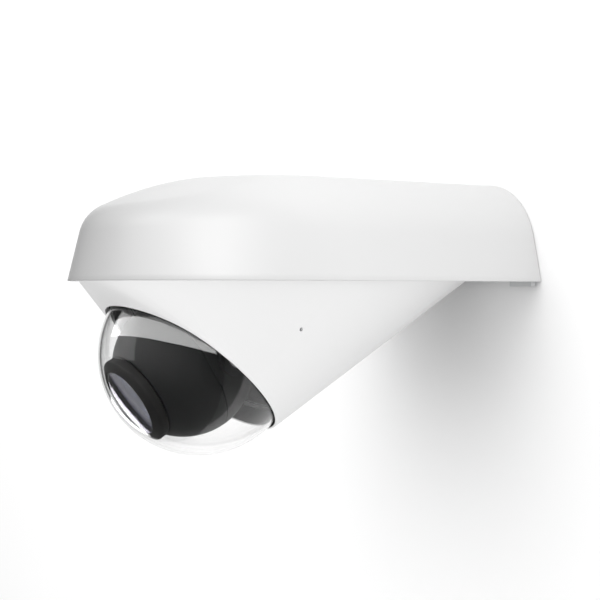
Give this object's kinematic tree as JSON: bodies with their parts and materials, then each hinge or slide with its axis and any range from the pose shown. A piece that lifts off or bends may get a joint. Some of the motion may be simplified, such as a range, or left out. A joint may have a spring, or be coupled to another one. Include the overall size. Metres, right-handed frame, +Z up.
{
  "type": "dome security camera",
  "caption": "Wall-mounted dome camera: long white weather hood, tapered lower housing, clear bubble and a black ball camera that pans, tilts and rolls.",
  "frame": {"origin": "on the wall face, on the plane of symmetry, 8 mm above the hood rim", "axes": "+Z up, +Y into the wall, the camera stands out towards -Y, +X to the right seen from the front"},
  "size_m": [0.151, 0.236, 0.1446],
  "materials": {
    "hood_white": "fine satin, white",
    "housing_white": "fine satin, white",
    "plate_white": "satin, white",
    "clear_dome": "clear, polished",
    "black_plastic": "matte black",
    "ball_black": "satin black",
    "lens_trim": "satin black",
    "lens_glass": "coated, polished",
    "rubber": "matte black",
    "steel": "zinc plated",
    "screw_steel": "zinc plated",
    "cast_metal": "die cast",
    "circuit_board": "green solder mask",
    "acetal": "natural, smooth",
    "chip": "moulded, dark"
  },
  "bodies": {
    "housing": {"weather_hood": "hood_white", "lower_housing": "housing_white", "wall_plate": "plate_white", "wall_gasket": "rubber", "cable_grommet": "rubber", "mounting_frame": "steel", "dome_bubble": "clear_dome", "dome_gasket": "rubber", "bubble_retainer": "black_plastic", "dome_base": "cast_metal", "bearing_ring": "acetal", "lock_screw_left": "screw_steel", "lock_screw_right": "screw_steel", "hood_screw_left": "screw_steel", "hood_screw_right": "screw_steel", "main_board": "circuit_board", "processor": "chip", "heat_spreader": "cast_metal", "network_jack": "steel", "card_slot": "steel", "reset_switch": "chip", "frame_screw_1": "screw_steel", "base_screw_1": "screw_steel", "board_screw_1": "screw_steel", "standoff_1": "steel", "frame_screw_2": "screw_steel", "base_screw_2": "screw_steel", "board_screw_2": "screw_steel", "standoff_2": "steel", "frame_screw_3": "screw_steel", "base_screw_3": "screw_steel", "board_screw_3": "screw_steel", "standoff_3": "steel", "frame_screw_4": "screw_steel", "base_screw_4": "screw_steel", "board_screw_4": "screw_steel", "standoff_4": "steel"},
    "pan_unit": {"pan_ring": "black_plastic", "yoke_left": "black_plastic", "yoke_right": "black_plastic", "tilt_pin_left": "steel", "tilt_pin_right": "steel", "yoke_screw_left": "screw_steel", "yoke_screw_right": "screw_steel"},
    "tilt_unit": {"ball_shell_front": "ball_black", "ball_shell_rear": "ball_black", "lens_carrier": "black_plastic"},
    "lens_unit": {"lens_window_ring": "lens_trim", "front_glass": "lens_glass", "lens_barrel": "black_plastic", "lens_element_front": "lens_glass", "lens_element_rear": "lens_glass", "iris_diaphragm": "black_plastic", "sensor_holder": "black_plastic", "sensor_board": "circuit_board", "image_sensor": "chip"},
    "card": {"memory_card": "chip"},
    "button": {"reset_button": "acetal"}
  },
  "joints": [
    {"name": "pan", "type": "hinge", "parent": "housing", "child": "pan_unit", "pos_m": [0, -0.1673, -0.0458], "axis": [0, -0.6494, -0.7604], "range_deg": [-175, 175]},
    {"name": "tilt", "type": "hinge", "parent": "pan_unit", "child": "tilt_unit", "pos_m": [0, -0.1673, -0.0458], "axis": [-1, 0, 0], "range_deg": [-18.8, 46.2]},
    {"name": "lens_roll", "type": "hinge", "parent": "tilt_unit", "child": "lens_unit", "pos_m": [0, -0.1673, -0.0458], "axis": [0, -0.8599, -0.5105], "range_deg": [-90, 90]},
    {"name": "card_slide", "type": "slide", "parent": "housing", "child": "card", "axis": [-1, 0, 0], "range_m": [0, 0.014]},
    {"name": "reset_press", "type": "slide", "parent": "housing", "child": "button", "axis": [0, -0.6494, -0.7604], "range_m": [0, 0.0006], "stiffness_N_per_m": 1500, "springref_m": -0.0004}
  ]
}
